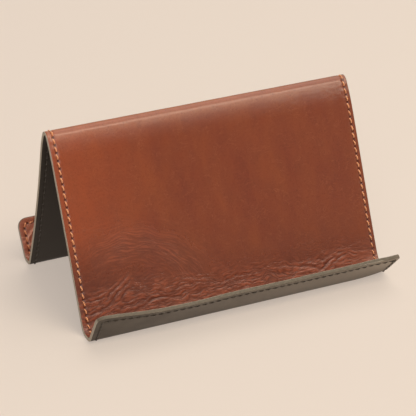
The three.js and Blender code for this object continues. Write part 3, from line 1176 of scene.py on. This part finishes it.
PIECES = [
    (outer_leather, "outer_leather", leather_look()),
    (lining, "lining", lining_look()),
    (core_plate, "core_plate", steel_look()),
    (
        lambda: thread(
            "needle_thread_stitches", radius=0.22, slant=0.28, inside=-0.02, crown=0.76, drop=1.45
        ),
        "needle_thread",
        thread_look("orange_thread", srgb(250, 184, 134), srgb(206, 120, 74)),
    ),
    (
        lambda: thread(
            "bobbin_thread_stitches", radius=0.17, slant=0.03, inside=-0.12, crown=-0.74, drop=0.60
        ),
        "bobbin_thread",
        thread_look("dark_grey_thread", srgb(78, 69, 58), srgb(50, 43, 36)),
    ),
    (edge_paint, "edge_paint", paint_look()),
]

for make, node, material in PIECES:
    piece = make()
    piece.data.materials.append(material)
    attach(piece, "root")
    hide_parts(node)


# ---------------------------------------------------------------- floor, light and camera

FLOOR_HALF = 12.0  # metres


def floor():
    corners = np.array([(-1, -1, 0), (1, -1, 0), (1, 1, 0), (-1, 1, 0)]) * FLOOR_HALF
    plane = make_mesh("floor", corners, [(0, 1, 2, 3)])
    plane.data.materials.append(floor_look())


def softbox(name, towards, distance, size, radiance, colour):
    """A rectangular light facing the middle of the scene, its second side along the Y axis."""
    light = bpy.data.lights.new(name, "AREA")
    light.shape = "RECTANGLE"
    light.size, light.size_y = size
    light.energy = radiance * math.pi * size[0] * size[1]
    light.color = colour
    obj = bpy.data.objects.new(name, light)
    away = Vector(towards).normalized()
    long_side = (Vector((0, 1, 0)) - away * away.y).normalized()
    short_side = long_side.cross(away)
    obj.location = distance * away
    obj.rotation_euler = Matrix((short_side, long_side, away)).transposed().to_euler()
    bpy.context.scene.collection.objects.link(obj)


HORIZON_BAND = (0.16, 0.34)  # heights between which the horizon's tone gives way to the sky's
BEHIND_LOWERING = -0.35


def world(horizon, sky):
    """A dim room: pale along the horizon and further up behind, darker above, so that the leather
    mirrors little."""
    made = bpy.data.worlds.new("studio")
    made.use_nodes = True
    tree = made.node_tree
    background = tree.nodes["Background"]
    coordinates = tree.nodes.new("ShaderNodeTexCoord")
    split = tree.nodes.new("ShaderNodeSeparateXYZ")
    height = tree.nodes.new("ShaderNodeMapRange")
    mix = tree.nodes.new("ShaderNodeMix")
    mix.data_type = "RGBA"
    height.inputs["From Min"].default_value = HORIZON_BAND[0]
    height.inputs["From Max"].default_value = HORIZON_BAND[1]
    mix.inputs[MIX_FIRST_COLOUR].default_value = horizon
    mix.inputs[MIX_SECOND_COLOUR].default_value = sky
    behind = tree.nodes.new("ShaderNodeMath")
    behind.operation = "MAXIMUM"
    behind.inputs[1].default_value = 0.0
    lowered = tree.nodes.new("ShaderNodeMath")
    lowered.operation = "MULTIPLY_ADD"
    lowered.inputs[1].default_value = BEHIND_LOWERING
    tree.links.new(coordinates.outputs["Generated"], split.inputs[0])
    tree.links.new(split.outputs["Y"], behind.inputs[0])
    tree.links.new(behind.outputs[0], lowered.inputs[0])
    tree.links.new(split.outputs["Z"], lowered.inputs[2])
    tree.links.new(lowered.outputs[0], height.inputs["Value"])
    tree.links.new(height.outputs[0], mix.inputs[MIX_FACTOR])
    tree.links.new(mix.outputs[MIX_COLOUR_OUT], background.inputs["Color"])
    bpy.context.scene.world = made


CAMERA_AZIMUTH = -24.5
CAMERA_ELEVATION = 27.83
CAMERA_DISTANCE = 0.655
CAMERA_AIM = Vector((-0.0025, -0.0073, 0.0258))
CAMERA_LENS = 182.4


def camera():
    data = bpy.data.cameras.new("camera")
    data.lens = CAMERA_LENS
    data.sensor_width = 36.0
    obj = bpy.data.objects.new("camera", data)
    turn, rise = math.radians(CAMERA_AZIMUTH), math.radians(CAMERA_ELEVATION)
    back = Vector(
        (math.sin(turn) * math.cos(rise), -math.cos(turn) * math.cos(rise), math.sin(rise))
    )
    obj.location = CAMERA_AIM + CAMERA_DISTANCE * back
    obj.rotation_euler = (-back).to_track_quat("-Z", "Y").to_euler()
    bpy.context.scene.collection.objects.link(obj)
    bpy.context.scene.camera = obj


floor()
world(srgb(226, 211, 196), srgb(84, 80, 78))
softbox(
    "front_strip",
    towards=(0.50, -0.73, 1.06),
    distance=1.38,
    size=(1.1, 0.36),
    radiance=8.5,
    colour=(1.0, 0.91, 0.74),
)
softbox(
    "overhead",
    towards=(0.50, 0.25, 1.12),
    distance=1.25,
    size=(1.1, 1.5),
    radiance=2.2,
    colour=(1.0, 0.95, 0.86),
)
softbox(
    "fill",
    towards=(-0.30, -0.66, 0.69),
    distance=1.25,
    size=(0.8, 0.8),
    radiance=2.6,
    colour=(1.0, 0.97, 0.92),
)
camera()
bpy.context.scene.view_settings.view_transform = "Standard"
